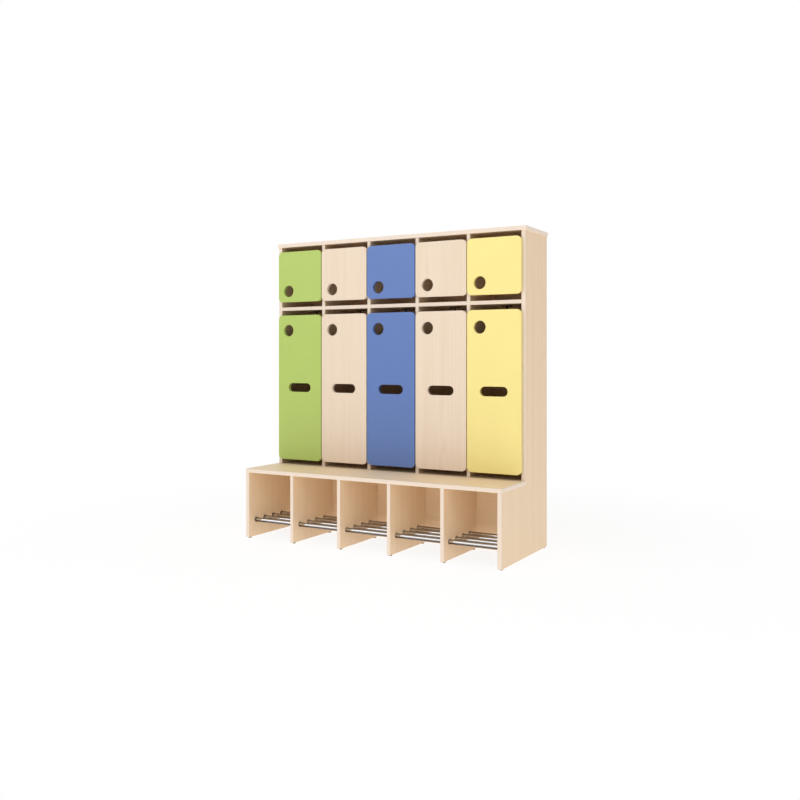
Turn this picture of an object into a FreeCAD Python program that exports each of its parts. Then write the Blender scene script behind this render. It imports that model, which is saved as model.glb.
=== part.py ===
import FreeCAD, Part
import math
import os
import re
import Sketcher

# Cloakroom bench for a kindergarten: a shoe bench with five open cubbies carries a row of five lockers,
# each with a hat compartment above a tall coat compartment and a door on each of the two.
# The frame: +X to the right, +Y to the back, +Z up, origin on the floor under the middle. Millimetres.

BAYS = 5
DOOR_ROWS = ("hat", "tall")
RAILS_PER_CUBBY = 4

# Driving sizes
SIZES = {
    # Boards of the carcass
    "bay_pitch": 250.0,
    "divider_thickness": 16.0,
    "side_thickness": 18.0,
    "bench_projection": 248.0,
    "locker_depth": 250.0,
    "seat_height": 320.0,
    "seat_thickness": 18.0,
    "seat_overhang": 2.0,
    "seat_corner_radius": 8.0,
    "seat_edge_round": 3.0,
    "overall_height": 1375.0,
    "top_thickness": 18.0,
    "top_overhang": 5.0,
    "hat_compartment_height": 287.0,
    "shelf_thickness": 16.0,
    "back_thickness": 4.0,
    "cubby_back_set": 67.0,
    "bench_back_thickness": 16.0,
    "edge_round": 1.5,
    # Doors
    "door_thickness": 16.0,
    "door_gap": 4.0,
    "door_vent_gap": 23.5,
    "door_standoff": 3.0,
    "door_corner_radius": 22.0,
    "door_edge_round": 2.0,
    "finger_hole_diameter": 55.0,
    "finger_hole_side": 59.0,
    "finger_hole_top": 72.5,
    "finger_hole_bottom": 52.0,
    "slot_length": 126.0,
    "slot_width": 41.0,
    # Concealed hinges
    "hinge_inset": 60.0,
    "cup_diameter": 35.0,
    "cup_wall": 1.0,
    "cup_edge_distance": 3.0,
    "flange_width": 20.0,
    "flange_height": 58.0,
    "flange_thickness": 0.8,
    "peg_diameter": 8.0,
    "peg_length": 10.0,
    "peg_spacing": 45.0,
    "peg_setback": 9.5,
    "pivot_depth": 8.0,
    "pin_diameter": 3.0,
    "pin_clearance": 0.05,
    "eye_wall": 1.1,
    "eye_side_room": 1.4,
    "eye_floor_room": 0.4,
    "lug_wall": 1.5,
    "lug_thickness": 2.7,
    "lug_play": 0.3,
    "arm_width": 10.0,
    "arm_metal": 3.0,
    "arm_rise": 1.0,
    "neck_room": 0.7,
    "arm_body": 8.0,
    "arm_setback": 3.0,
    "arm_length": 48.0,
    "plate_thickness": 3.0,
    "plate_length": 42.0,
    "plate_width": 16.0,
    "plate_wing_height": 48.0,
    "plate_wing_width": 14.0,
    "plate_screw_line": 37.0,
    "plate_screw_spacing": 32.0,
    "plate_screw_diameter": 5.0,
    "plate_screw_depth": 11.0,
    "plate_head_diameter": 8.5,
    "plate_head_height": 2.0,
    "bumper_diameter": 5.0,
    "bumper_gap": 0.2,
    "bumper_inset": 40.0,
    # Shoe rails
    "rail_diameter": 20.0,
    "rail_wall": 1.2,
    "rail_height": 80.0,
    "rail_front": 51.5,
    "rail_spacing": 64.0,
    "rail_clearance": 0.1,
    "socket_wall": 2.0,
    "socket_floor": 2.0,
    "socket_length": 8.0,
    "socket_peg_diameter": 10.0,
    "socket_peg_length": 6.0,
    # Coat hooks
    "hook_plate_length": 50.0,
    "hook_plate_width": 18.0,
    "hook_plate_thickness": 3.0,
    "hook_stem_diameter": 8.0,
    "hook_drop": 34.0,
    "hook_arm_diameter": 7.0,
    "hook_arm_reach": 16.0,
    "hook_bend_radius": 12.0,
    "hook_tip_diameter": 10.0,
    "hook_screw_spacing": 36.0,
    "hook_screw_diameter": 3.5,
    "hook_screw_depth": 12.0,
    "hook_head_diameter": 7.0,
    "hook_head_height": 1.8,
    # Glides and joinery
    "glide_diameter": 14.0,
    "glide_height": 5.0,
    "glide_inset": 18.0,
    "glide_peg_diameter": 5.0,
    "glide_peg_length": 12.0,
    "dowel_diameter": 8.0,
    "dowel_in_end": 20.0,
    "dowel_in_face": 12.0,
    "dowel_inset": 50.0,
    "back_screw_diameter": 3.0,
    "back_screw_depth": 12.0,
    "back_head_diameter": 6.0,
    "back_head_height": 1.6,
    "back_screw_inset": 80.0,
}

# Sizes that follow from the driving ones
DERIVED = {
    "half_row": f"{BAYS} * bay_pitch / 2",
    "half_inner": f"({BAYS} * bay_pitch - divider_thickness) / 2",
    "half_outer": "half_inner + side_thickness",
    "side_middle": "half_inner + side_thickness / 2",
    "clear_width": "bay_pitch - divider_thickness",
    "side_depth": "bench_projection + locker_depth",
    "seat_width": "2 * (half_outer + seat_overhang)",
    "seat_step": "side_thickness + seat_overhang",
    "seat_step_right": "seat_width - seat_step",
    "seat_front_depth": "bench_projection + seat_overhang",
    "seat_depth": "seat_front_depth + locker_depth - back_thickness",
    "locker_front": "(bench_projection + seat_overhang - locker_depth) / 2",
    "bench_front": "locker_front - bench_projection",
    "rear": "locker_front + locker_depth",
    "back_front": "rear - back_thickness",
    "cubby_back": "locker_front + cubby_back_set",
    "seat_bottom": "seat_height - seat_thickness",
    "seat_middle": "seat_height - seat_thickness / 2",
    "top_bottom": "overall_height - top_thickness",
    "shelf_top": "top_bottom - hat_compartment_height",
    "shelf_underside": "shelf_top - shelf_thickness",
    "shelf_middle": "shelf_top - shelf_thickness / 2",
    "door_width": "bay_pitch - door_gap",
    "door_back": "locker_front - door_standoff",
    "tall_door_low": "seat_height + door_vent_gap",
    "tall_door_height": "shelf_underside - door_vent_gap - tall_door_low",
    "hat_door_low": "shelf_top + door_vent_gap",
    "hat_door_height": "top_bottom - door_vent_gap - hat_door_low",
    "eye_radius": "pin_diameter / 2 + eye_wall",
    "pivot_inset": "cup_edge_distance + cup_wall + eye_side_room + eye_radius",
    "pivot_side": "door_gap / 2 + pivot_inset",
    "pivot_line": "door_back - pivot_depth",
    "cup_depth": "pivot_depth + eye_radius + eye_floor_room + cup_wall",
    "cup_centre": "cup_edge_distance + cup_diameter / 2",
    "cup_offset": "cup_centre - pivot_inset",
    "cup_floor": "pivot_depth - cup_depth + cup_wall",
    "lug_radius": "pin_diameter / 2 + lug_wall",
    "lug_start": "arm_width / 2 + lug_play",
    "pin_half": "lug_start + lug_thickness",
    "hinge_wall": "pivot_side - divider_thickness / 2",
    "hinge_front": "door_standoff + pivot_depth",
    "arm_back": "hinge_front + arm_setback",
    "neck_left": "sqrt(pivot_inset ^ 2 + pivot_depth ^ 2) + neck_room + arm_metal",
    "rail_end": "clear_width / 2 - socket_floor",
    "hook_line": "locker_front + locker_depth / 2",
}

doc = FreeCAD.newDocument("cloakroom_bench")
sheet = doc.addObject("Spreadsheet::Sheet", "Sizes")
for row, (alias, value) in enumerate([*SIZES.items(), *DERIVED.items()], start=1):
    sheet.set(f"A{row}", alias)
    sheet.set(f"B{row}", f"={value}" if alias in DERIVED else str(value))
    sheet.setAlias(f"B{row}", alias)
doc.recompute()

ALIASES = {*SIZES, *DERIVED}
WORD = re.compile(r"[a-z_]+")
TURN = {
    "x": FreeCAD.Rotation(FreeCAD.Vector(0, 1, 0), 90),
    "y": FreeCAD.Rotation(FreeCAD.Vector(1, 0, 0), -90),
    "z": FreeCAD.Rotation(),
}
NEAR = 1e-4
nodes = {}


def cell(text):
    """An expression on the sheet, from plain alias words."""
    def on_sheet(match):
        word = match.group()
        return f"Sizes.{word}" if word in ALIASES else word
    return WORD.sub(on_sheet, str(text))


def size(alias):
    """The number that the sheet holds under an alias."""
    return float(sheet.get(alias))


def put(obj, at):
    for axis, text in zip("xyz", at):
        obj.setExpression(f"Placement.Base.{axis}", cell(text))
    return obj


def block(name, at, length, width, height):
    """A box with its low corner at a place."""
    obj = doc.addObject("Part::Box", name)
    for side, text in (("Length", length), ("Width", width), ("Height", height)):
        obj.setExpression(side, cell(text))
    return put(obj, at)


def rod(name, axis, at, diameter, length):
    """A cylinder that starts at a place and runs along +X, +Y or +Z."""
    obj = doc.addObject("Part::Cylinder", name)
    obj.Placement = FreeCAD.Placement(FreeCAD.Vector(), TURN[axis])
    obj.setExpression("Radius", cell(f"({diameter}) / 2"))
    obj.setExpression("Height", cell(length))
    return put(obj, at)


def joined(name, *parts):
    obj = doc.addObject("Part::MultiFuse", name)
    obj.Shapes = list(parts)
    obj.Refine = True
    return obj


def cut(name, base, tool):
    obj = doc.addObject("Part::Cut", name)
    obj.Base = base
    obj.Tool = tool
    return obj


def common(name, first, second):
    obj = doc.addObject("Part::Common", name)
    obj.Base = first
    obj.Tool = second
    return obj


def rounded(name, base, radius, chosen):
    """The base with the chosen edges rounded."""
    doc.recompute()
    obj = doc.addObject("Part::Fillet", name)
    obj.Base = base
    radius = size(radius)
    obj.Edges = [(i, radius, radius) for i, edge in enumerate(base.Shape.Edges, 1) if chosen(edge)]
    return obj


def node(obj, label):
    obj.Label = label
    nodes[label] = obj
    return obj


def copies(label, model, places):
    """One node that holds a separate solid of the model at each place."""
    doc.recompute()
    solids = []
    for place in places:
        solid = model.Shape.copy()
        solid.Placement = place.multiply(solid.Placement)
        solids.append(solid)
    obj = doc.addObject("Part::Feature", label)
    obj.Shape = Part.makeCompound(solids)
    return node(obj, label)


def at(x, y, z, turn=None):
    return FreeCAD.Placement(FreeCAD.Vector(x, y, z), turn or FreeCAD.Rotation())


def facing(x, y, z, axis):
    """A placement that turns +Z to an axis."""
    return at(x, y, z, FreeCAD.Rotation(FreeCAD.Vector(0, 0, 1), FreeCAD.Vector(*axis)))


def sketch_on(body, role, name):
    sketch = body.newObject("Sketcher::SketchObject", name)
    plane = next(item for item in body.Origin.OriginFeatures if item.Role == role)
    sketch.AttachmentSupport = (plane, [""])
    sketch.MapMode = "FlatFace"
    return sketch


def hold(sketch, text, *constraint):
    """A dimension of the sketch that follows the sheet."""
    index = sketch.addConstraint(Sketcher.Constraint(*constraint))
    sketch.setExpression(f"Constraints[{index}]", cell(text))


def draw_polygon(sketch, corners):
    """A closed outline. Each corner is a pair of aliases, or 0, measured from the sketch's origin."""
    count = len(corners)
    points = [FreeCAD.Vector(*(0 if text == "0" else size(text) for text in pair), 0) for pair in corners]
    for i in range(count):
        sketch.addGeometry(Part.LineSegment(points[i], points[(i + 1) % count]), False)
    for i, (along, up) in enumerate(corners):
        sketch.addConstraint(Sketcher.Constraint("Coincident", i, 2, (i + 1) % count, 1))
        for kind, axis, text in (("DistanceX", -2, along), ("DistanceY", -1, up)):
            if text == "0":
                sketch.addConstraint(Sketcher.Constraint("PointOnObject", i, 1, axis))
            else:
                hold(sketch, text, kind, -1, 1, i, 1, points[i].x if kind == "DistanceX" else points[i].y)


def pad(body, sketch, length):
    obj = body.newObject("PartDesign::Pad", f"{sketch.Name}_pad")
    obj.Profile = sketch
    obj.setExpression("Length", cell(length))
    doc.recompute()
    return obj


def pocket(body, sketch, depth):
    """A blind cut from the sketch towards the sketch's own normal."""
    before = body.Shape.Volume
    obj = body.newObject("PartDesign::Pocket", f"{sketch.Name}_pocket")
    obj.Profile = sketch
    obj.Reversed = True
    obj.setExpression("Length", cell(depth))
    doc.recompute()
    if body.Shape.Volume > before - 1:
        raise RuntimeError(f"{sketch.Name} cuts nothing")
    return obj


def ease(body, feature, radius, chosen):
    """The chosen edges of a body's feature rounded."""
    obj = body.newObject("PartDesign::Fillet", f"{feature.Name}_round")
    names = [f"Edge{i}" for i, edge in enumerate(feature.Shape.Edges, 1) if chosen(edge)]
    obj.Base = (feature, names)
    obj.setExpression("Radius", cell(radius))
    doc.recompute()
    return obj


def flat_at(edge, axis, level):
    """Whether an edge lies in a plane across an axis."""
    box = edge.BoundBox
    low, high = getattr(box, f"{axis}Min"), getattr(box, f"{axis}Max")
    return abs(low - level) < NEAR and abs(high - level) < NEAR


def along_z(edge):
    return edge.BoundBox.XLength < NEAR and edge.BoundBox.YLength < NEAR


# Coat hook: a plate under the shelf, a stem, a cross bar and two upturned ends with round tips
def hook_model():
    plate = block("hook_plate", ("-hook_plate_length / 2", "-hook_plate_width / 2", "-hook_plate_thickness"),
                  "hook_plate_length", "hook_plate_width", "hook_plate_thickness")
    bar_level = "-hook_plate_thickness - hook_drop"
    stem = rod("hook_stem", "z", ("0", "0", bar_level), "hook_stem_diameter", "hook_drop")
    bar = rod("hook_bar", "x", ("-hook_arm_reach", "0", bar_level), "hook_arm_diameter", "2 * hook_arm_reach")
    pieces = [plate, stem, bar]
    for side, start, along in (("left", 180, -1), ("right", 270, 1)):
        upright = FreeCAD.Rotation(FreeCAD.Vector(1, 0, 0), 90)
        bend = doc.addObject("Part::Torus", f"hook_bend_{side}")
        bend.Placement = at(0, 0, 0, upright.multiply(FreeCAD.Rotation(FreeCAD.Vector(0, 0, 1), start)))
        bend.setExpression("Radius1", cell("hook_bend_radius"))
        bend.setExpression("Radius2", cell("hook_arm_diameter / 2"))
        bend.Angle3 = 90
        put(bend, (f"{along} * hook_arm_reach", "0", f"{bar_level} + hook_bend_radius"))
        tip = doc.addObject("Part::Sphere", f"hook_tip_{side}")
        tip.setExpression("Radius", cell("hook_tip_diameter / 2"))
        put(tip, (f"{along} * (hook_arm_reach + hook_bend_radius)", "0", f"{bar_level} + hook_bend_radius"))
        pieces += [bend, tip]
    whole = joined("hook_whole", *pieces)
    holes = [rod(f"hook_hole_{i}", "z", (f"{sign} * hook_screw_spacing / 2", "0", "-hook_plate_thickness"),
                 "hook_screw_diameter", "hook_plate_thickness") for i, sign in enumerate((-1, 1))]
    return cut("hook_model", whole, joined("hook_holes", *holes))


def screw_model(name, diameter, length, head_diameter, head_height):
    """A screw that points up: its head is below the origin and its shank above."""
    shank = rod(f"{name}_shank", "z", ("0", "0", "0"), diameter, length)
    head = rod(f"{name}_head", "z", ("0", "0", f"-({head_height})"), head_diameter, head_height)
    return joined(name, shank, head)


# Hinge cup: sunk in the door's back, with a flange and two pegs, and two lugs that turn on the pin.
# All hinge models have the pin's middle as their origin.
def cup_model():
    centre, mouth = "-cup_offset", "pivot_depth"
    shell = rod("cup_shell", "y", (centre, f"{mouth} - cup_depth", "0"), "cup_diameter", "cup_depth")
    cavity = rod("cup_cavity", "y", (centre, "cup_floor", "0"), "cup_diameter - 2 * cup_wall",
                 "cup_depth + flange_thickness")
    flange = block("cup_flange", (f"{centre} - peg_setback - flange_width / 4", mouth, "-flange_height / 2"),
                   "flange_width", "flange_thickness", "flange_height")
    pegs = []
    for i, sign in enumerate((-1, 1)):
        root = (f"{centre} - peg_setback", f"{mouth} - peg_length", f"{sign} * peg_spacing / 2")
        pegs.append(rod(f"cup_peg_{i}", "y", root, "peg_diameter", "peg_length"))
    hollow = cut("cup_hollow", joined("cup_blank", shell, flange, *pegs), cavity)
    lugs = []
    for i, start in enumerate(("-pin_half", "lug_start")):
        round_end = rod(f"lug_round_{i}", "z", ("0", "0", start), "2 * lug_radius", "lug_thickness")
        foot = block(f"lug_foot_{i}", ("-lug_radius", "cup_floor", start), "2 * lug_radius", "-cup_floor",
                     "lug_thickness")
        lugs += [round_end, foot]
    limit = rod("lug_limit", "y", (centre, f"{mouth} - cup_depth", "0"), "cup_diameter - cup_wall",
                "2 * cup_depth")
    trimmed = common("lug_pair", joined("lug_blank", *lugs), limit)
    bore = rod("lug_bore", "z", ("0", "0", "-pin_half"), "pin_diameter + 2 * pin_clearance", "2 * pin_half")
    return cut("cup_model", joined("cup_whole", hollow, trimmed), bore)


# Hinge arm: an eye on the pin, a gooseneck out of the cup, and a body along the bay's right wall
def arm_model():
    half, wall = "-arm_width / 2", "hinge_wall - plate_thickness"
    low = "arm_rise - arm_metal"
    eye = rod("arm_eye", "z", ("0", "0", half), "2 * eye_radius", "arm_width")
    bar = block("arm_bar", ("-neck_left", low, half), "neck_left", "arm_metal", "arm_width")
    neck = block("arm_neck", ("-neck_left", low, half), "arm_metal", f"arm_back + arm_metal - ({low})",
                 "arm_width")
    web = block("arm_web", ("-neck_left", "arm_back", half), f"neck_left + {wall}", "arm_metal", "arm_width")
    body = block("arm_body_bar", (f"{wall} - arm_body", "arm_back", half), "arm_body", "arm_length",
                 "arm_width")
    pin = rod("arm_pin_hole", "z", ("0", "0", half), "pin_diameter", "arm_width")
    return cut("arm_model", joined("arm_whole", eye, bar, neck, web, body), pin)


# Mounting plate: carries the arm and is held to the wall by two screws
def plate_model(screw_places, screw):
    wall = "hinge_wall - plate_thickness"
    rib = block("plate_rib", (wall, "arm_back + arm_setback", "-plate_width / 2"), "plate_thickness",
                "plate_length", "plate_width")
    wings = block("plate_wings", (wall, "hinge_front + plate_screw_line - plate_wing_width / 2",
                                  "-plate_wing_height / 2"),
                  "plate_thickness", "plate_wing_width", "plate_wing_height")
    doc.recompute()
    pair = doc.addObject("Part::Feature", "plate_screw_pair")
    pair.Shape = Part.makeCompound([screw.Shape.transformed(place.toMatrix()) for place in screw_places])
    return cut("plate_model", joined("plate_whole", rib, wings), pair)


def column_x(index):
    """X of a pitch line: 0 is the left end of the row, BAYS the right end."""
    return index * size("bay_pitch") - size("half_row")


def hinge_heights(row):
    low, height, inset = size(f"{row}_door_low"), size(f"{row}_door_height"), size("hinge_inset")
    return (low + inset, low + height - inset)


def hinge_places(row, bay):
    return [at(column_x(bay) - size("pivot_side"), size("pivot_line"), z) for z in hinge_heights(row)]


# Glides, shoe rails, hooks and screws
hook = hook_model()
hook_screw = screw_model("hook_screw_model", "hook_screw_diameter", "hook_plate_thickness + hook_screw_depth",
                         "hook_head_diameter", "hook_head_height")
plate_screw = screw_model("plate_screw_model", "plate_screw_diameter", "plate_thickness + plate_screw_depth",
                          "plate_head_diameter", "plate_head_height")
back_screw = joined(
    "back_screw_model",
    rod("back_screw_shank", "z", ("0", "0", "0"), "back_screw_diameter", "back_thickness + back_screw_depth"),
    rod("back_screw_head", "z", ("0", "0", "0"), "back_head_diameter", "back_head_height"))
glide = joined(
    "glide_model",
    rod("glide_foot", "z", ("0", "0", "0"), "glide_diameter", "glide_height"),
    rod("glide_peg", "z", ("0", "0", "glide_height"), "glide_peg_diameter", "glide_peg_length"))
socket_blank = joined(
    "socket_blank",
    rod("socket_cup", "z", ("0", "0", "0"), "rail_diameter + 2 * socket_wall", "socket_length"),
    rod("socket_peg", "z", ("0", "0", "-socket_peg_length"), "socket_peg_diameter", "socket_peg_length"))
socket_bore = rod("socket_bore", "z", ("0", "0", "socket_floor"), "rail_diameter + 2 * rail_clearance",
                  "socket_length")
socket = cut("socket_model", socket_blank, socket_bore)
rail = cut(
    "rail_model",
    rod("rail_outer", "x", ("-rail_end", "0", "0"), "rail_diameter", "2 * rail_end"),
    rod("rail_inner", "x", ("-rail_end", "0", "0"), "rail_diameter - 2 * rail_wall", "2 * rail_end"))
bumper = rod("bumper_model", "y", ("0", "0", "0"), "bumper_diameter", "door_standoff - bumper_gap")
doc.recompute()

bay_middles = [column_x(bay + 0.5) for bay in range(BAYS)]
wall_lines = [column_x(index) for index in range(1, BAYS)]
side_lines = (-size("side_middle"), size("side_middle"))

glide_spots = []
for x in (*side_lines, *wall_lines):
    last = size("rear") if x in side_lines else size("cubby_back")
    glide_spots += [at(x, size("bench_front") + size("glide_inset"), 0), at(x, last - size("glide_inset"), 0)]
copies("glides", glide, glide_spots)

first_rail = size("bench_front") + size("rail_front")
rail_lines = [first_rail + i * size("rail_spacing") for i in range(RAILS_PER_CUBBY)]
socket_spots = []
for bay, x in enumerate(bay_middles, 1):
    copies(f"shoe_rails_{bay}", rail, [at(x, y, size("rail_height")) for y in rail_lines])
    for y in rail_lines:
        for way in (-1, 1):
            wall = x + way * size("clear_width") / 2
            socket_spots.append(facing(wall, y, size("rail_height"), (-way, 0, 0)))
copies("rail_sockets", socket, socket_spots)

hook_screw_spots = []
for bay, x in enumerate(bay_middles, 1):
    copies(f"coat_hook_{bay}", hook, [at(x, size("hook_line"), size("shelf_underside"))])
    for way in (-0.5, 0.5):
        hook_screw_spots.append(at(x + way * size("hook_screw_spacing"), size("hook_line"),
                                   size("shelf_underside") - size("hook_plate_thickness")))
copies("hook_screws", hook_screw, hook_screw_spots)

# Hinges: cups go with the doors, the rest stays on the carcass
screw_x = size("hinge_wall") - size("plate_thickness")
screw_y = size("hinge_front") + size("plate_screw_line")
screw_pair = [facing(screw_x, screw_y, way * size("plate_screw_spacing"), (1, 0, 0)) for way in (-0.5, 0.5)]
cup = cup_model()
arm = arm_model()
plate = plate_model(screw_pair, plate_screw)
pin = rod("pin_model", "z", ("0", "0", "-pin_half"), "pin_diameter", "2 * pin_half")
every_hinge = [place for row in DOOR_ROWS for bay in range(1, BAYS + 1) for place in hinge_places(row, bay)]
copies("hinge_arms", arm, every_hinge)
copies("hinge_pins", pin, every_hinge)
copies("hinge_plates", plate, every_hinge)
copies("hinge_plate_screws", plate_screw,
       [place.multiply(spot) for place in every_hinge for spot in screw_pair])
for row in DOOR_ROWS:
    for bay in range(1, BAYS + 1):
        copies(f"{row}_door_hinge_cups_{bay}", cup, hinge_places(row, bay))

# Soft stops on the carcass behind the free edge of each door
bumper_side = (size("door_gap") + size("divider_thickness")) / 4
bumper_spots = []
for row in DOOR_ROWS:
    low, height = size(f"{row}_door_low"), size(f"{row}_door_height")
    for bay in range(BAYS):
        for z in (low + size("bumper_inset"), low + height - size("bumper_inset")):
            bumper_spots.append(at(column_x(bay) + bumper_side, size("door_back") + size("bumper_gap"), z))
copies("door_bumpers", bumper, bumper_spots)


# Dowels: each stands in one board's end and reaches into another board's face
def dowel_places():
    inset = size("dowel_inset")
    locker_ends = (size("locker_front") + inset, size("back_front") - inset)
    bench_ends = (size("bench_front") + inset, size("locker_front") - inset)
    bench_levels = (size("glide_height") + inset, size("seat_bottom") - inset)
    back_middle = size("cubby_back") + size("bench_back_thickness") / 2
    for y in locker_ends:
        for x in (*side_lines, *wall_lines):
            yield x, y, size("top_bottom"), (0, 0, 1)
        for x in wall_lines:
            yield x, y, size("seat_height"), (0, 0, -1)
        for way in (-1, 1):
            yield way * size("half_inner"), y, size("shelf_middle"), (way, 0, 0)
            yield way * size("half_inner"), y, size("seat_middle"), (way, 0, 0)
    for y in bench_ends:
        for x in (*side_lines, *wall_lines):
            yield x, y, size("seat_bottom"), (0, 0, 1)
    for z in bench_levels:
        for x in wall_lines:
            yield x, size("cubby_back"), z, (0, 1, 0)
        for way in (-1, 1):
            yield way * size("half_inner"), back_middle, z, (way, 0, 0)


# Two shelves share each dowel that goes through a divider
def shelf_dowel_places():
    inset = size("dowel_inset")
    for x in wall_lines:
        for y in (size("locker_front") + inset, size("back_front") - inset):
            yield at(x, y, size("shelf_middle"))


dowel = rod("dowel_model", "z", ("0", "0", "-dowel_in_end"), "dowel_diameter", "dowel_in_end + dowel_in_face")
copies("panel_dowels", dowel, [facing(*place) for place in dowel_places()])
shelf_dowel = rod("shelf_dowel_model", "x", ("-divider_thickness / 2 - dowel_in_end", "0", "0"),
                  "dowel_diameter", "divider_thickness + 2 * dowel_in_end")
copies("shelf_dowels", shelf_dowel, shelf_dowel_places())

screw_inset = size("back_screw_inset")
back_levels = (size("seat_height") + screw_inset, size("shelf_middle"), size("top_bottom") - screw_inset)
back_spots = [facing(x, size("rear"), z, (0, -1, 0)) for x in wall_lines for z in back_levels]
back_spots += [facing(x, size("rear"), size("seat_middle"), (0, -1, 0)) for x in bay_middles]
copies("back_panel_screws", back_screw, back_spots)

# What is let into the boards
inserts = [nodes[label] for label in ("panel_dowels", "shelf_dowels", "back_panel_screws",
                                      "hinge_plate_screws", "hook_screws", "rail_sockets", "glides")]


def drilled(label, blank):
    """The finished board, with a hole for every insert that enters it."""
    doc.recompute()
    reach = blank.Shape.BoundBox
    solids = [solid for insert in inserts for solid in insert.Shape.Solids]
    tools = doc.addObject("Part::Feature", f"{label}_inserts")
    tools.Shape = Part.makeCompound([solid for solid in solids if reach.intersect(solid.BoundBox)])
    return node(cut(f"{label}_drilled", blank, tools), label)


def board(label, at_corner, length, width, height):
    """A plain board whose upright front edges are eased."""
    plain = block(f"{label}_board", at_corner, length, width, height)
    doc.recompute()
    front = plain.Shape.BoundBox.YMin
    drilled(label, rounded(f"{label}_eased", plain, "edge_round",
                           lambda edge: flat_at(edge, "Y", front) and along_z(edge)))


# Side panels: one continuous board each, high at the back and low at the front
def side_panel(label, left):
    body = doc.addObject("PartDesign::Body", f"{label}_body")
    outline = sketch_on(body, "YZ_Plane", f"{label}_outline")
    low, seat, high = "glide_height", "seat_bottom", "top_bottom"
    full, step = "side_depth", "bench_projection"
    draw_polygon(outline, [("0", low), (full, low), (full, high), (step, high), (step, seat), ("0", seat)])
    blank = pad(body, outline, "side_thickness")
    fronts = (0, size("bench_projection"), size("side_depth"))
    ease(body, blank, "edge_round", lambda edge: along_z(edge) and any(flat_at(edge, "Y", y) for y in fronts))
    put(body, (left, "bench_front", "0"))
    drilled(label, body)


# Seat board: wide in front, and narrower where it goes on between the sides as the lockers' floor
def seat_board():
    body = doc.addObject("PartDesign::Body", "seat_body")
    outline = sketch_on(body, "XY_Plane", "seat_outline")
    wide, step, right = "seat_width", "seat_step", "seat_step_right"
    front, deep = "seat_front_depth", "seat_depth"
    draw_polygon(outline, [("0", "0"), (wide, "0"), (wide, front), (right, front), (right, deep),
                           (step, deep), (step, front), ("0", front)])
    blank = pad(body, outline, "seat_thickness")
    soft = ease(body, blank, "seat_corner_radius", lambda edge: along_z(edge) and flat_at(edge, "Y", 0))

    def on_outer_rim(edge):
        box = edge.BoundBox
        level = box.ZLength < NEAR
        at_end = flat_at(edge, "X", 0) or flat_at(edge, "X", size(wide))
        return level and (at_end or (box.YMax < size(front) / 2))

    ease(body, soft, "seat_edge_round", on_outer_rim)
    put(body, ("-half_outer - seat_overhang", "bench_front - seat_overhang", "seat_bottom"))
    drilled("seat_board", body)


def top_panel():
    plain = block("top_plain", ("-half_outer - top_overhang", "locker_front - top_overhang", "top_bottom"),
                  "2 * (half_outer + top_overhang)", "locker_depth + top_overhang", "top_thickness")
    drilled("top_panel", rounded("top_eased", plain, "edge_round", lambda edge: True))


side_panel("side_panel_left", "-half_outer")
side_panel("side_panel_right", "half_inner")
seat_board()
top_panel()
for index in range(1, BAYS):
    middle = f"({index} * bay_pitch - half_row - divider_thickness / 2)"
    board(f"locker_divider_{index}", (middle, "locker_front", "seat_height"), "divider_thickness",
          "locker_depth - back_thickness", "top_bottom - seat_height")
    board(f"bench_divider_{index}", (middle, "bench_front", "glide_height"), "divider_thickness",
          "bench_projection + cubby_back_set", "seat_bottom - glide_height")
for bay in range(1, BAYS + 1):
    left = f"{bay - 1} * bay_pitch - half_row + divider_thickness / 2"
    board(f"hat_shelf_{bay}", (left, "locker_front", "shelf_underside"), "clear_width",
          "locker_depth - back_thickness", "shelf_thickness")
drilled("bench_back_panel", block("bench_back_board", ("-half_inner", "cubby_back", "glide_height"),
                                  "2 * half_inner", "bench_back_thickness", "seat_bottom - glide_height"))
drilled("locker_back_panel", block("locker_back_board", ("-half_inner", "back_front", "seat_bottom"),
                                   "2 * half_inner", "back_thickness", "top_bottom - seat_bottom"))


def draw_arc(sketch, centre, radius, start, end):
    """An arc of a circle between two angles in degrees."""
    circle = Part.Circle(FreeCAD.Vector(*centre, 0), FreeCAD.Vector(0, 0, 1), radius)
    sketch.addGeometry(Part.ArcOfCircle(circle, math.radians(start), math.radians(end)), False)


def draw_line(sketch, start, end):
    return sketch.addGeometry(Part.LineSegment(FreeCAD.Vector(*start, 0), FreeCAD.Vector(*end, 0)), False)


def rounded_outline(sketch, width, height, radius):
    w, h, r = size(width), size(height), size(radius)
    corners = [(w - r, r, -90), (w - r, h - r, 0), (r, h - r, 90), (r, r, 180)]
    lines = [((r, 0), (w - r, 0)), ((w, r), (w, h - r)), ((w - r, h), (r, h)), ((0, h - r), (0, r))]
    for (start, end), (x, y, angle) in zip(lines, corners):
        draw_line(sketch, start, end)
        draw_arc(sketch, (x, y), r, angle, angle + 90)
    for i in range(8):
        sketch.addConstraint(Sketcher.Constraint("Tangent", i, 2, (i + 1) % 8, 1))
    for kind, line in (("Horizontal", 0), ("Vertical", 2), ("Horizontal", 4), ("Vertical", 6)):
        sketch.addConstraint(Sketcher.Constraint(kind, line))
    for arc in (3, 5, 7):
        sketch.addConstraint(Sketcher.Constraint("Equal", 1, arc))
    sketch.addConstraint(Sketcher.Constraint("PointOnObject", 0, 1, -1))
    sketch.addConstraint(Sketcher.Constraint("PointOnObject", 6, 1, -2))
    hold(sketch, radius, "Radius", 1, r)
    hold(sketch, width, "DistanceX", 6, 1, 2, 1, w)
    hold(sketch, height, "DistanceY", 0, 1, 4, 1, h)


# Where a hole is first drawn, before its sizes place it
DRAWN_AT = 60


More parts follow.
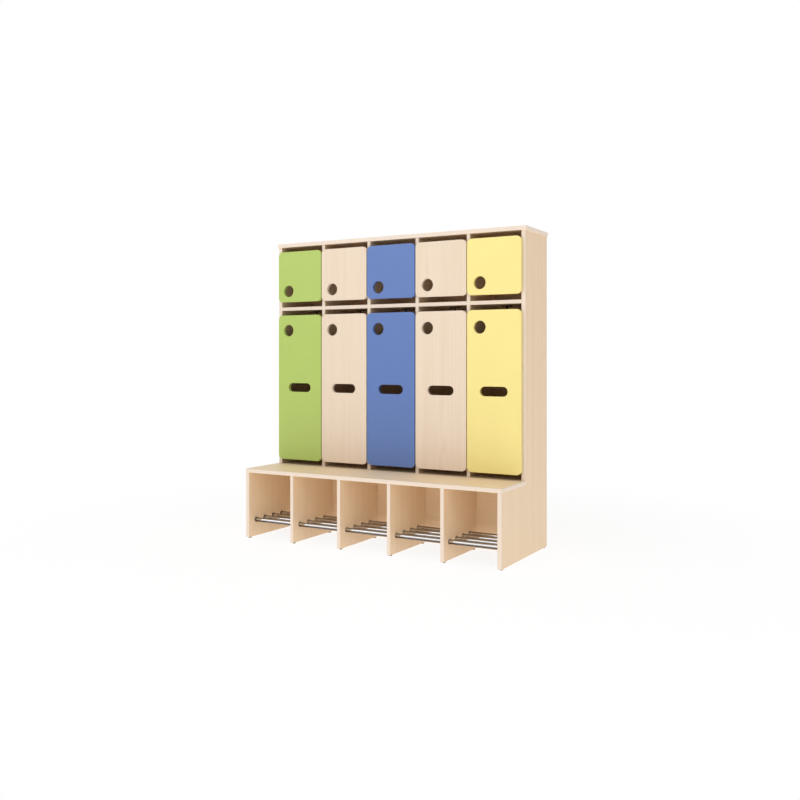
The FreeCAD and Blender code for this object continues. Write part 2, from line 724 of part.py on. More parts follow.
def draw_circle(sketch, x, y, diameter):
    circle = Part.Circle(FreeCAD.Vector(DRAWN_AT, DRAWN_AT, 0), FreeCAD.Vector(0, 0, 1), size(diameter) / 2)
    index = sketch.addGeometry(circle, False)
    hold(sketch, x, "DistanceX", -1, 1, index, 3, DRAWN_AT)
    hold(sketch, y, "DistanceY", -1, 1, index, 3, DRAWN_AT)
    hold(sketch, diameter, "Diameter", index, size(diameter))


def draw_slot(sketch, x, y, length, width):
    """A level slot with round ends, centred at a place."""
    radius, span = size(width) / 2, size(length) - size(width)
    left, right = DRAWN_AT, DRAWN_AT + span
    first = draw_line(sketch, (left, DRAWN_AT - radius), (right, DRAWN_AT - radius))
    draw_arc(sketch, (right, DRAWN_AT), radius, -90, 90)
    draw_line(sketch, (right, DRAWN_AT + radius), (left, DRAWN_AT + radius))
    draw_arc(sketch, (left, DRAWN_AT), radius, 90, 270)
    for i in range(4):
        sketch.addConstraint(Sketcher.Constraint("Tangent", first + i, 2, first + (i + 1) % 4, 1))
    sketch.addConstraint(Sketcher.Constraint("Horizontal", first))
    sketch.addConstraint(Sketcher.Constraint("Equal", first + 1, first + 3))
    hold(sketch, f"{width} / 2", "Radius", first + 1, radius)
    hold(sketch, f"{length} - {width}", "DistanceX", first + 3, 3, first + 1, 3, span)
    hold(sketch, f"{x} - ({length} - {width}) / 2", "DistanceX", -1, 1, first + 3, 3, left)
    hold(sketch, y, "DistanceY", -1, 1, first + 3, 3, DRAWN_AT)


# Door: a board with rounded corners and eased edges, a finger hole near the free edge, and on the tall doors
# a slot at the middle. Its back is bored for two hinge cups. The outline is drawn on the door's back.
def door(row, bay):
    label, height = f"{row}_door_{bay}", f"{row}_door_height"
    body = doc.addObject("PartDesign::Body", label)
    outline = sketch_on(body, "XZ_Plane", f"{label}_outline")
    rounded_outline(outline, "door_width", height, "door_corner_radius")
    if row == "tall":
        draw_circle(outline, "finger_hole_side", f"{height} - finger_hole_top", "finger_hole_diameter")
        draw_slot(outline, "door_width / 2", f"{height} / 2", "slot_length", "slot_width")
    else:
        draw_circle(outline, "finger_hole_side", "finger_hole_bottom", "finger_hole_diameter")
    blank = pad(body, outline, "door_thickness")
    faces = (0, -size("door_thickness"))
    ease(body, blank, "door_edge_round", lambda edge: any(flat_at(edge, "Y", y) for y in faces))
    levels = ("hinge_inset", f"{height} - hinge_inset")
    cups = sketch_on(body, "XZ_Plane", f"{label}_cup_bores")
    pegs = sketch_on(body, "XZ_Plane", f"{label}_peg_bores")
    for level in levels:
        draw_circle(cups, "door_width - cup_centre", level, "cup_diameter")
        for way in ("-", "+"):
            draw_circle(pegs, "door_width - cup_centre - peg_setback", f"{level} {way} peg_spacing / 2",
                        "peg_diameter")
    pocket(body, cups, "cup_depth")
    pocket(body, pegs, "peg_length")
    put(body, (f"{bay - 1} * bay_pitch - half_row + door_gap / 2", "door_back", f"{row}_door_low"))
    node(body, label)


for row in DOOR_ROWS:
    for bay in range(1, BAYS + 1):
        door(row, bay)

# Every object has to be sound before anything is written
doc.recompute()
for obj in doc.Objects:
    if {"Invalid", "Error"} & set(obj.State):
        raise RuntimeError(f"{obj.Label} failed: {obj.State}")
for label, obj in nodes.items():
    if obj.Shape.isNull() or not obj.Shape.isValid() or not obj.Shape.Solids:
        raise RuntimeError(f"{label} has no sound shape")
os.makedirs("parts", exist_ok=True)
for label, obj in nodes.items():
    obj.Shape.exportStep(f"parts/{label}.step")
print(len(nodes), "nodes")
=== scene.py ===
import math

import bmesh
import bpy
from bpy.props import FloatProperty, FloatVectorProperty, IntProperty, PointerProperty
from mathutils import Color, Euler, Matrix, Vector


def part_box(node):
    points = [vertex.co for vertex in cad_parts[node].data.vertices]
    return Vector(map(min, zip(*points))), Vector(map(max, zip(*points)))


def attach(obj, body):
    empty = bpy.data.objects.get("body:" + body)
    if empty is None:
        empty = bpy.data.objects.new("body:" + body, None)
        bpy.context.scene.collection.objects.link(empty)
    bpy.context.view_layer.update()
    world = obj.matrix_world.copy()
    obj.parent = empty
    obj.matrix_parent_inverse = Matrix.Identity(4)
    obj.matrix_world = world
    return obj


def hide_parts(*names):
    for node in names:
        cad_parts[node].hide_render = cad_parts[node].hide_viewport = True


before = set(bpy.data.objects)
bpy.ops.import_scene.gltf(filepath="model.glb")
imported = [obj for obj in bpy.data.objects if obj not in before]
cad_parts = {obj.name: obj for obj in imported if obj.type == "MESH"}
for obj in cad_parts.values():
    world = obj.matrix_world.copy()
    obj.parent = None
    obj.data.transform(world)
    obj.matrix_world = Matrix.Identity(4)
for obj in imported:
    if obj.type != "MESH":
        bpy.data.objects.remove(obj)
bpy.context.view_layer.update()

bl_info = {
    "name": "Cloakroom Bench",
    "version": (1, 0, 0),
    "blender": (4, 5, 0),
    "location": "View3D > Sidebar > Bench",
    "description": "Finishes a cloakroom bench's boards and doors, models its fittings and sets its stage",
    "category": "Object",
}

BAYS = 5
BOTH_ROWS = ("hat", "tall")
DOOR_SLOTS = ("green_door", "maple_door", "blue_door", "maple_door", "yellow_door")
MM = 0.001
DOOR_CORNER = 22 * MM
SEAT_CORNER = 8 * MM
# Painted light: the seat and the top are made paler than the upright boards of the same maple, to make up for
# the shade on their level faces.
LEVEL_BOARD_PAINTED_LIGHT = 1.18
# Painted light: the back of the shoe cubbies is made paler than the other maple boards, to lift it against
# the shade inside the cubbies.
CUBBY_BACK_PAINTED_LIGHT = 1.16
PEG_LENGTH = 6 * MM
HOOK_SCREW_HEAD = 1.8 * MM
PLATE_SCREW_HEAD = 2 * MM
BACK_SCREW_HEAD = 1.6 * MM
LAMP_AIM = Vector((0, 0, 0.75))
LAMPS = {
    "key": {"spot": (3.5, -3.2, 2.8), "size": (2.4, 2.4)},
    "top": {"spot": (0.2, -1.9, 4.6), "size": (3.6, 3.6)},
    "strip": {"spot": (-2.4, -4.35, 2.3), "size": (4.4, 1.0)},
}


# Properties: what a user would change

def tint(name, description, default):
    return FloatVectorProperty(name=name, description=description, default=default, subtype="COLOR_GAMMA",
                               size=3, min=0, max=1)


def length(name, description, default):
    return FloatProperty(name=name, description=description, default=default, subtype="DISTANCE",
                         unit="LENGTH", min=0, precision=5)


def share(name, description, default):
    return FloatProperty(name=name, description=description, default=default, subtype="FACTOR", min=0, max=1)


def power(name, description, default):
    return FloatProperty(name=name, description=description, default=default, subtype="POWER", unit="POWER",
                         min=0)


class BenchColours(bpy.types.PropertyGroup):
    maple: tint("Maple", "Mean colour of the maple boards", (0.912, 0.816, 0.688))
    maple_door: tint("Maple Doors", "Mean colour of the maple doors", (0.897, 0.828, 0.746))
    late_wood: tint("Late Wood", "Colour of the maple's darker growth lines", (0.800, 0.680, 0.560))
    edge_band: tint("Edge Band", "Colour of the plastic band on the boards' edges", (0.912, 0.842, 0.770))
    green: tint("Green", "Colour of the green doors", (0.679, 0.762, 0.382))
    blue: tint("Blue", "Colour of the blue doors", (0.357, 0.468, 0.699))
    yellow: tint("Yellow", "Colour of the yellow doors", (0.952, 0.882, 0.556))
    back: tint("Back Board", "Colour of the thin board behind the lockers", (0.885, 0.752, 0.595))
    chrome: tint("Chrome", "Colour of the shoe rails", (0.790, 0.785, 0.780))
    # Painted reflection shade: the rails lean toward this colour where they face up or down, in place of the
    # dark surroundings they would reflect.
    painted_reflection_shade: tint("Rail Shade", "Colour of the shoe rails where they face up or down", (0.395, 0.350, 0.310))
    nickel: tint("Nickel", "Colour of the hinges", (0.830, 0.815, 0.795))
    zinc: tint("Zinc", "Colour of the screws", (0.780, 0.780, 0.770))
    socket: tint("Sockets", "Colour of the cups that hold the rails", (0.330, 0.300, 0.280))
    hook: tint("Hooks", "Colour of the coat hooks", (0.105, 0.100, 0.098))
    glide: tint("Glides", "Colour of the glides under the boards", (0.340, 0.340, 0.345))
    stop: tint("Soft Stops", "Colour of the clear stops behind the doors", (0.880, 0.890, 0.885))
    beech: tint("Beech", "Colour of the dowels", (0.800, 0.640, 0.480))


class BenchGrain(bpy.types.PropertyGroup):
    ring: length("Growth Line Spacing", "Distance between two growth lines of the maple", 0.0065)
    pith: length("Depth Under The Face", "How far below a face the middle of the tree lies", 0.060)
    band: length("Edge Band Thickness", "Thickness of the band on the boards' edges", 0.002)
    figure: share("Figure", "How strong the growth lines are", 0.19)
    fibre: share("Fibre", "How strong the fine fibres are", 0.46)
    streak: share("Streaks", "How strong the broad streaks are", 0.66)
    pore: share("Pores", "How dark the short pores are", 0.18)


class BenchFittings(bpy.types.PropertyGroup):
    sides: IntProperty(name="Sides", description="Sides of a turned part", default=32, min=12, max=64)
    recess: length("Cross Recess", "Depth of the cross in a screw's head", 0.0012)
    rim: length("Socket Rim", "Rounding of a rail socket's mouth", 0.0007)
    dome: length("Glide Dome", "Rounding under a glide", 0.0022)
    stem: length("Hook Stem", "Radius of a hook's stem", 0.0042)
    arm: length("Hook Arm", "Radius of a hook's arms", 0.0036)
    tip: length("Hook Tip", "Radius of a hook's round tips", 0.0049)


class BenchStage(bpy.types.PropertyGroup):
    eye: FloatVectorProperty(name="Camera", description="Where the camera stands", subtype="TRANSLATION",
                             unit="LENGTH", size=3, default=(2.00264, -3.42724, 0.8326))
    turn: FloatProperty(name="Turn", description="How far the camera turns to the left", subtype="ANGLE",
                        unit="ROTATION", default=math.radians(29.815))
    lens: FloatProperty(name="Lens", description="Focal length in millimetres", default=39.866, min=1)
    rise: FloatProperty(name="Vertical Shift", description="Shift of the lens", default=-0.0540)
    sky: FloatProperty(name="Sky", description="Strength of the light from all round", default=0.46, min=0)
    key: power("Key Lamp", "Power of the large lamp in front on the right", 24)
    top: power("Top Lamp", "Power of the large lamp overhead", 47)
    strip: power("Strip Lamp", "Power of the long lamp that the shoe rails reflect", 33)
    floor: tint("Floor", "Colour of the floor", (0.93, 0.93, 0.93))
    lift: FloatProperty(name="Lit Floor", description="Light that the floor gives off", default=0.74, min=0)
    haze: FloatProperty(name="Shadow Haze", description="Light in the floor's shadow", default=0.35, min=0)
    glow: share("Floor Glow", "How much white the camera sees on the floor whatever falls on it", 0.78)
    clear: length("Clear Floor", "How far from the bench the floor is plain white", 2.4)


# Shader maths

class Value:
    """A socket of a material's nodes. Maths on it adds Math nodes."""

    def __init__(self, finish, socket):
        self.finish = finish
        self.socket = socket

    def __add__(self, other):
        return self.finish.maths("ADD", self, other)

    def __sub__(self, other):
        return self.finish.maths("SUBTRACT", self, other)

    def __rsub__(self, other):
        return self.finish.maths("SUBTRACT", other, self)

    def __mul__(self, other):
        return self.finish.maths("MULTIPLY", self, other)

    def __truediv__(self, other):
        return self.finish.maths("DIVIDE", self, other)

    def __pow__(self, other):
        return self.finish.maths("POWER", self, other)

    def __gt__(self, other):
        return self.finish.maths("GREATER_THAN", self, other)

    def __abs__(self):
        return self.finish.maths("ABSOLUTE", self)

    __radd__ = __add__
    __rmul__ = __mul__


class Finish:
    """A material, or the world's light, in the making."""

    def __init__(self, holder, output="ShaderNodeOutputMaterial"):
        if isinstance(holder, str):
            holder = bpy.data.materials.new(holder)
        holder.use_nodes = True
        self.material = holder
        self.output = output
        self.tree = holder.node_tree
        self.tree.nodes.clear()

    def node(self, kind, settings=(), inputs=(), output=0):
        """Adds a node: its settings first, then the values or links of its sockets."""
        made = self.tree.nodes.new(kind)
        for name, value in dict(settings).items():
            setattr(made, name, value)
        for socket, value in dict(inputs).items():
            if isinstance(value, Value):
                self.tree.links.new(value.socket, made.inputs[socket])
            else:
                made.inputs[socket].default_value = value
        return Value(self, made.outputs[output])

    def maths(self, operation, *values):
        return self.node("ShaderNodeMath", {"operation": operation}, enumerate(values))

    def larger(self, one, other):
        return self.maths("MAXIMUM", one, other)

    def smaller(self, one, other):
        return self.maths("MINIMUM", one, other)

    def fade(self, value, low, high):
        """0 below low, 1 above high, smooth between."""
        return self.node("ShaderNodeMapRange", {"interpolation_type": "SMOOTHSTEP"},
                         {"Value": value, "From Min": low, "From Max": high})

    def mix(self, factor, one, other):
        return self.node("ShaderNodeMix", {"data_type": "RGBA"}, {0: factor, 6: one, 7: other}, 2)

    def join(self, x, y, z):
        return self.node("ShaderNodeCombineXYZ", (), {0: x, 1: y, 2: z})

    def split(self, vector):
        return [self.node("ShaderNodeSeparateXYZ", (), {0: vector}, axis) for axis in range(3)]

    def place(self):
        return self.node("ShaderNodeTexCoord", (), (), "Object")

    def facing(self):
        return self.node("ShaderNodeTexCoord", (), (), "Normal")

    def noise(self, vector, scale, shift=(0, 0, 0), detail=2, roughness=0.5):
        turned = self.node("ShaderNodeMapping", (), {"Vector": vector, "Location": shift, "Scale": scale})
        return self.node("ShaderNodeTexNoise", (), {"Vector": turned, "Scale": 1, "Detail": detail,
                                                   "Roughness": roughness})

    def close(self, inputs, height=None, strength=0.2, distance=0.0002):
        """Ends the material in one surface shader."""
        inputs = dict(inputs)
        if height is not None:
            inputs["Normal"] = self.node("ShaderNodeBump", (), {"Height": height, "Strength": strength,
                                                               "Distance": distance})
        return self.end(self.node("ShaderNodeBsdfPrincipled", (), inputs))

    def end(self, shader):
        last = self.tree.nodes.new(self.output)
        self.tree.links.new(shader.socket, last.inputs["Surface"])
        return self.material

    def light(self, kind, strength):
        return self.node(kind, (), {"Color": (1, 1, 1, 1), "Strength": strength})

    def add_shader(self, one, other):
        return self.node("ShaderNodeAddShader", (), {0: one, 1: other})

    def mix_shader(self, factor, one, other):
        return self.node("ShaderNodeMixShader", (), {0: factor, 1: one, 2: other})


def paint(colour):
    """A property's colour as the shader takes it."""
    return (*Color(colour).from_srgb_to_scene_linear(), 1)


def scaled(colour, factor):
    return (*(min(1, part * factor) for part in colour[:3]), 1)


# Finishes of boards

def maple(finish, grain_axis, face_axis, seed, mean):
    """Colour, roughness and height of sawn maple: its grain along one axis, its face across another."""
    grain = bpy.context.scene.bench_grain
    colours = bpy.context.scene.bench_colours
    part = dict(zip("XYZ", finish.split(finish.place())))
    across_axis = next(axis for axis in "XYZ" if axis not in (grain_axis, face_axis))
    wood = finish.join(part[across_axis], part[face_axis], part[grain_axis])
    shift = (seed * 1.37, seed * 0.71, seed * 2.93)
    warp = finish.noise(wood, (7, 7, 0.9), shift, 2) - 0.5
    depth = finish.noise(wood, (2, 2, 0.7), (shift[1], shift[2], shift[0]), 1) - 0.5
    heart = 0.05 * math.sin(seed * 2.1)
    aside = part[across_axis] - (heart + 0.25 * math.floor(seed)) + warp * 0.05
    below = part[grain_axis] * 0.028 + depth * 0.10 + grain.pith
    streak = finish.noise(wood, (38, 38, 0.8), shift, 3, 0.55)
    ring = (aside * aside + below * below) ** 0.5 / grain.ring + (streak - 0.5) * 2.6
    late = (finish.maths("SINE", ring * math.tau) * 0.5 + 0.5) ** 2
    stagger = finish.noise(wood, (430, 430, 0), shift, 1) * 0.12
    strand = finish.join(part[across_axis], part[face_axis], part[grain_axis] + stagger)
    fibre = finish.noise(strand, (850, 850, 9), shift, 3, 0.6)
    pore = finish.fade(finish.noise(strand, (1900, 1900, 70), shift, 1), 0.62, 0.72)
    tone = 0.34 + (late - 0.37) * grain.figure + (fibre - 0.5) * grain.fibre + (streak - 0.5) * grain.streak
    tone = finish.larger(0, tone + pore * grain.pore)
    light = scaled(mean, 1.06)
    colour = finish.mix(tone * 0.6, light, paint(colours.late_wood))
    return colour, 0.44 + fibre * 0.1 + pore * 0.12, fibre * 0.5 - pore


def edge_depth(finish, u, v, lo, hi, radius):
    """How far inside the outline of a board a point lies. The outline has round corners."""
    out_u = abs(u - (lo[0] + hi[0]) / 2) - ((hi[0] - lo[0]) / 2 - radius)
    out_v = abs(v - (lo[1] + hi[1]) / 2) - ((hi[1] - lo[1]) / 2 - radius)
    corner_u = finish.larger(out_u, 0)
    corner_v = finish.larger(out_v, 0)
    corner = (corner_u * corner_u + corner_v * corner_v) ** 0.5
    return radius - corner - finish.smaller(finish.larger(out_u, out_v), 0)


def banded(finish, surface, inside):
    """A maple surface with a plastic band near the edge and a fine joint beside the band."""
    grain = bpy.context.scene.bench_grain
    colours = bpy.context.scene.bench_colours
    colour, roughness, height = surface
    band = 1 - finish.fade(inside, grain.band, grain.band + 0.00008)
    joint = finish.fade(inside, grain.band - 0.0002, grain.band) * (1 - finish.fade(
        inside, grain.band + 0.0001, grain.band + 0.0003))
    mottle = finish.noise(finish.place(), (260, 260, 40), (0, 0, 0), 2) - 0.5
    cream = paint(colours.edge_band)
    plastic = finish.mix(0.5 + mottle * 0.9, scaled(cream, 0.97), scaled(cream, 1.03))
    colour = finish.mix(band, colour, plastic)
    colour = finish.mix(joint * 0.45, colour, scaled(cream, 0.45))
    roughness = roughness * (1 - band) + band * (0.36 + mottle * 0.15)
    return colour, roughness, height * (1 - band) + joint * -0.8


def close_board(finish, surface):
    colour, roughness, height = surface
    return finish.close({"Base Color": colour, "Roughness": roughness, "IOR": 1.46}, height, 0.25, 0.00012)


def give(node, material):
    """Gives a CAD node its finish."""
    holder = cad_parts[node]
    for index in range(len(holder.material_slots)):
        holder.material_slots[index].material = material
    if not holder.material_slots:
        holder.data.materials.append(material)


def front_board(node, seed, grain_axis, face_axis):
    """A divider or shelf, with a band on its front edge alone."""
    finish = Finish(f"maple {node}")
    surface = maple(finish, grain_axis, face_axis, seed, paint(bpy.context.scene.bench_colours.maple))
    inside = finish.split(finish.place())[1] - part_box(node)[0].y
    give(node, close_board(finish, banded(finish, surface, inside)))


def side_board(node, seed):
    """A side panel: grain upright, a band on both front edges and on the back edge."""
    finish = Finish(f"maple {node}")
    lo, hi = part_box(node)
    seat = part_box("seat_board")[0].z
    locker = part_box("locker_divider_1")[0].y
    surface = maple(finish, "Z", "X", seed, paint(bpy.context.scene.bench_colours.maple))
    y, z = finish.split(finish.place())[1:]
    front = y - (lo.y + (z > seat) * (locker - lo.y))
    give(node, close_board(finish, banded(finish, surface, finish.smaller(front, hi.y - y))))


def level_board(node, seed, radius, back_band):
    """The seat or the top: grain along X, a band round its outer edges."""
    finish = Finish(f"maple {node}")
    lo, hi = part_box(node)
    # Painted light: the level boards' maple is made paler by this factor.
    mean = scaled(paint(bpy.context.scene.bench_colours.maple), LEVEL_BOARD_PAINTED_LIGHT)
    surface = maple(finish, "X", "Z", seed, mean)
    x, y = finish.split(finish.place())[:2]
    rear = hi.y if back_band else hi.y + 1
    inside = edge_depth(finish, x, y, (lo.x, lo.y), (hi.x, rear), radius)
    give(node, close_board(finish, banded(finish, surface, inside)))


class BENCH_OT_carcass(bpy.types.Operator):
    """Finishes the sides, dividers, shelves, seat and top in maple with banded edges"""
    bl_idname = "object.bench_carcass"
    bl_label = "Carcass Boards"

    def execute(self, context):
        side_board("side_panel_left", 0.31)
        side_board("side_panel_right", 1.87)
        for index in range(1, BAYS):
            front_board(f"locker_divider_{index}", 2.0 + 0.37 * index, "Z", "X")
            front_board(f"bench_divider_{index}", 4.0 + 0.53 * index, "Z", "X")
        for index in range(1, BAYS + 1):
            front_board(f"hat_shelf_{index}", 6.0 + 0.41 * index, "X", "Z")
        level_board("seat_board", 0.62, SEAT_CORNER, False)
        level_board("top_panel", 0.17, 0.0, True)
        return {"FINISHED"}


class BENCH_OT_backs(bpy.types.Operator):
    """Finishes the back of the shoe cubbies and the thin board behind the lockers"""
    bl_idname = "object.bench_backs"
    bl_label = "Back Boards"

    def execute(self, context):
        colours = context.scene.bench_colours
        finish = Finish("maple bench_back_panel")
        # Painted light: the cubby back's maple is made paler by this factor.
        pale = scaled(paint(colours.maple), CUBBY_BACK_PAINTED_LIGHT)
        give("bench_back_panel", close_board(finish, maple(finish, "X", "Y", 0.44, pale)))
        finish = Finish("thin back board")
        colour, roughness, height = maple(finish, "Z", "Y", 0.83, paint(colours.back))
        give("locker_back_panel", close_board(finish, (colour, roughness + 0.08, height)))
        return {"FINISHED"}


# Finishes of doors

def door_edges(finish):
    """Whether a point of a door lies on an edge, and whether on a rounding."""
    level = abs(finish.split(finish.facing())[1])
    edge = 1 - finish.fade(level, 0.35, 0.65)
    rounding = finish.fade(level, 0.15, 0.45) * (1 - finish.fade(level, 0.80, 0.97))
    return edge, rounding


def maple_door(node, seed):
    """Maple with a band round the door's outline, and cream on its edges and hole walls."""
    finish = Finish(f"maple {node}")
    lo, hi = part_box(node)
    x, _, z = finish.split(finish.place())
    inside = edge_depth(finish, x, z, (lo.x, lo.z), (hi.x, hi.z), DOOR_CORNER)
    edge = door_edges(finish)[0]
    surface = maple(finish, "Z", "Y", seed, paint(bpy.context.scene.bench_colours.maple_door))
    colour, roughness, height = banded(finish, surface, inside)
    cream = paint(bpy.context.scene.bench_colours.edge_band)
    colour = finish.mix(edge * 0.55, colour, cream)
    give(node, close_board(finish, (colour, roughness, height * (1 - edge))))


def painted_door(node, colour):
    """Satin paint: a faint mottle and orange peel, smoother where hands touch, worn on the roundings."""
    finish = Finish(f"paint {node}")
    edge, rounding = door_edges(finish)
    place = finish.place()
    cloud = finish.noise(place, (9, 9, 9), (0.3, 0.1, 0.7), 3) - 0.5
    peel = finish.noise(place, (900, 900, 900), (0, 0, 0), 2)
    speck = finish.fade(finish.noise(place, (1500, 1500, 1500), (5, 1, 3), 1), 0.70, 0.78)
    mottled = finish.mix(0.5 + cloud * 0.8 + (peel - 0.5) * 0.3, scaled(colour, 0.965), scaled(colour, 1.035))
    worn = rounding * finish.fade(finish.noise(place, (300, 300, 300), (2, 7, 1), 3), 0.5, 0.75)
    pale = finish.mix(0.22, colour, (1, 1, 1, 1))
    # Painted bounce light: the door's edges and hole walls lean 15 % toward a deeper, more saturated colour,
    # standing in for coloured light bouncing inside the holes.
    deep = (*(part ** 1.3 for part in colour[:3]), 1)
    tone = finish.mix(worn * 0.35, finish.mix(edge * 0.15, mottled, deep), pale)
    tone = finish.mix(speck * 0.08, tone, scaled(colour, 0.7))
    hands = finish.noise(place, (14, 14, 14), (4, 2, 9), 4, 0.6)
    roughness = 0.40 + (hands - 0.5) * 0.16 + worn * 0.08
    inputs = {"Base Color": tone, "Roughness": roughness, "IOR": 1.47}
    give(node, finish.close(inputs, peel, 0.12, 0.00008))


class BENCH_OT_doors(bpy.types.Operator):
    """Finishes the hat doors and tall doors: green, maple, blue, maple and yellow"""
    bl_idname = "object.bench_doors"
    bl_label = "Doors"

    def execute(self, context):
        colours = context.scene.bench_colours
        paints = {"green_door": colours.green, "blue_door": colours.blue, "yellow_door": colours.yellow}
        for row_index, row in enumerate(BOTH_ROWS):
            for bay, slot in enumerate(DOOR_SLOTS, 1):
                node = f"{row}_door_{bay}"
                if slot in paints:
                    painted_door(node, paint(paints[slot]))
                else:
                    maple_door(node, 0.23 * bay + 0.37 * row_index)
        return {"FINISHED"}


# Finishes of fittings

def with_painted_reflection_shade(finish, tone, painted_reflection_shade):
    """A tube's colour with painted reflection shade: darker where it faces down and, less, where it faces up.
    """
    rise = finish.split(finish.facing())[2]
    # Painted reflection shade: full where the tube faces down, 62 % of it where the tube faces up.
    under = 1 - finish.fade(rise, -0.20, 0.06)
    over = finish.fade(rise, 0.52, 0.72) * 0.62
    return finish.mix(under + over, tone, painted_reflection_shade)


def metal_finish(name, colour, roughness, brushed, stretch, painted_reflection_shade=None):
    """Plated metal with fine brushing and a little staining, with painted reflection shade where it faces up
    or down if asked.
    """
    finish = Finish(name)
    place = finish.place()
    lines = finish.noise(place, stretch, (0, 0, 0), 3, 0.6)
    stain = finish.noise(place, (40, 40, 40), (1, 4, 2), 3) - 0.5
    tone = finish.mix(0.5 + stain * 0.8 + (lines - 0.5) * 0.4, scaled(colour, 0.93), scaled(colour, 1.05))
    if painted_reflection_shade:
        tone = with_painted_reflection_shade(finish, tone, painted_reflection_shade)
    rough = finish.larger(0.03, roughness + (lines - 0.5) * brushed + stain * brushed * 0.6)
    return finish.close({"Base Color": tone, "Metallic": 1.0, "Roughness": rough}, lines, 0.06, 0.00005)


def plastic_finish(name, colour, roughness, grit, clear=0.0):
    """Moulded plastic or powder coat with a fine grit."""
    finish = Finish(name)
    place = finish.place()
    grain = finish.noise(place, (grit, grit, grit), (0, 0, 0), 2)
    cloud = finish.noise(place, (30, 30, 30), (3, 1, 8), 3) - 0.5
    tone = finish.mix(0.5 + cloud + (grain - 0.5) * 0.5, scaled(colour, 0.85), scaled(colour, 1.15))
    inputs = {"Base Color": tone, "Roughness": roughness + (grain - 0.5) * 0.2, "Transmission Weight": clear}
    return finish.close(inputs, grain, 0.2, 0.0001)


# Modelling by hand

def begin(add, **sizes):
    """Adds a primitive as the only thing selected and opens it for editing."""
    bpy.ops.object.select_all(action="DESELECT")
    add(**sizes)
    piece = bpy.context.object
    bpy.ops.object.transform_apply(location=True, rotation=True, scale=True)
    bpy.ops.object.mode_set(mode="EDIT")
    return piece


def end(piece, angle=35):
    """Closes a piece's editing and smooths it except at its sharp edges."""
    bpy.ops.mesh.select_all(action="SELECT")
    bpy.ops.mesh.normals_make_consistent(inside=False)
    bpy.ops.object.mode_set(mode="OBJECT")
    bpy.ops.object.shade_smooth_by_angle(angle=math.radians(angle))
    return piece


def block(lo, hi):
    """A box between two corners, open for editing."""
    middle = [(low + high) / 2 for low, high in zip(lo, hi)]
    size = [high - low for low, high in zip(lo, hi)]
    return begin(bpy.ops.mesh.primitive_cube_add, size=1, location=middle, scale=size)


def turned(radius, low, high, axis="Z", centre=(0, 0), sides=None):
    """A round bar along an axis between two levels, open for editing."""
    sides = sides or bpy.context.scene.bench_fittings.sides
    middle = (low + high) / 2
    spot = {"X": (middle, *centre), "Y": (centre[0], middle, centre[1]), "Z": (*centre, middle)}[axis]
    tilt = {"X": (0, math.pi / 2, 0), "Y": (math.pi / 2, 0, 0), "Z": (0, 0, 0)}[axis]
    return begin(bpy.ops.mesh.primitive_cylinder_add, vertices=sides, radius=radius, depth=high - low,
                 location=spot, rotation=tilt)


def pick(kind, test):
    """In edit mode, selects only the faces, edges or points that pass a test."""
    bpy.ops.mesh.select_mode(type={"faces": "FACE", "edges": "EDGE", "verts": "VERT"}[kind])
    bpy.ops.mesh.select_all(action="DESELECT")
    data = bpy.context.edit_object.data
    mesh = bmesh.from_edit_mesh(data)
    mesh.normal_update()
    chosen = [item for item in getattr(mesh, kind) if test(item)]
    if not chosen:
        raise RuntimeError(f"no {kind} to shape on {bpy.context.edit_object.name}")
    for item in chosen:
        item.select_set(True)
    mesh.select_flush_mode()
    bmesh.update_edit_mesh(data)


def looks(direction, level=None, near=2e-5):
    """A test for faces that look one way and, if a level is given, lie there."""
    way = Vector(direction)

    def test(face):
        if face.normal.dot(way) < 0.99:
            return False
        return level is None or abs(face.calc_center_median().dot(way) - level) < near
    return test


def rim_at(direction, level, radius=None, centre=(0, 0, 0), near=2e-5):
    """A test for edges that lie in a plane and, if a radius is given, on a circle round a centre."""
    way = Vector(direction)

    def test(edge):
        for point in edge.verts:
            if abs(point.co.dot(way) - level) > near:
                return False
            offset = point.co - Vector(centre)
            if radius is not None and abs((offset - way * offset.dot(way)).length - radius) > 1e-4:
                return False
        return True
    return test


def extrude(vector):
    bpy.ops.mesh.extrude_region_move(TRANSFORM_OT_translate={"value": vector})


def inset(thickness):
    bpy.ops.mesh.inset(thickness=thickness)


def bevel(width, segments=2):
    bpy.ops.mesh.bevel(offset=width, offset_type="OFFSET", segments=segments, profile=0.5, affect="EDGES")


def apply_modifier(piece, kind, **settings):
    bpy.ops.object.select_all(action="DESELECT")
    piece.select_set(True)
    bpy.context.view_layer.objects.active = piece
    made = piece.modifiers.new(kind.title(), kind)
    for name, value in settings.items():
        setattr(made, name, value)
    bpy.ops.object.modifier_apply(modifier=made.name)


def soften(piece, width, segments=2):
    """Rounds every sharp edge a little."""
    apply_modifier(piece, "BEVEL", width=width, segments=segments, limit_method="ANGLE",
                   angle_limit=math.radians(40), harden_normals=False)


def merge(name, pieces):
    """Joins pieces into one."""
    bpy.ops.object.select_all(action="DESELECT")
    for piece in pieces:
        piece.select_set(True)
    bpy.context.view_layer.objects.active = pieces[0]
    if len(pieces) > 1:
        bpy.ops.object.join()
    whole = bpy.context.object
    bpy.ops.object.shade_smooth_by_angle(angle=math.radians(35))
    whole.name = name
    whole.data.name = name
    return whole


def carve(piece, cutter):
    """Cuts one piece out of another and throws the cutter away."""
    apply_modifier(piece, "BOOLEAN", object=cutter, operation="DIFFERENCE", solver="EXACT", use_self=True)
    bpy.data.objects.remove(cutter)


def copies(name, model, places):
    """A group of copies of a model, each with a mesh of its own, as one piece."""
    twins = []
    for place in places:
        twin = model.copy()
        twin.data = model.data.copy()
        twin.data.transform(place)
        bpy.context.collection.objects.link(twin)
        twins.append(twin)
    return merge(name, twins)


def drop(*models):
    for model in models:
        bpy.data.objects.remove(model)


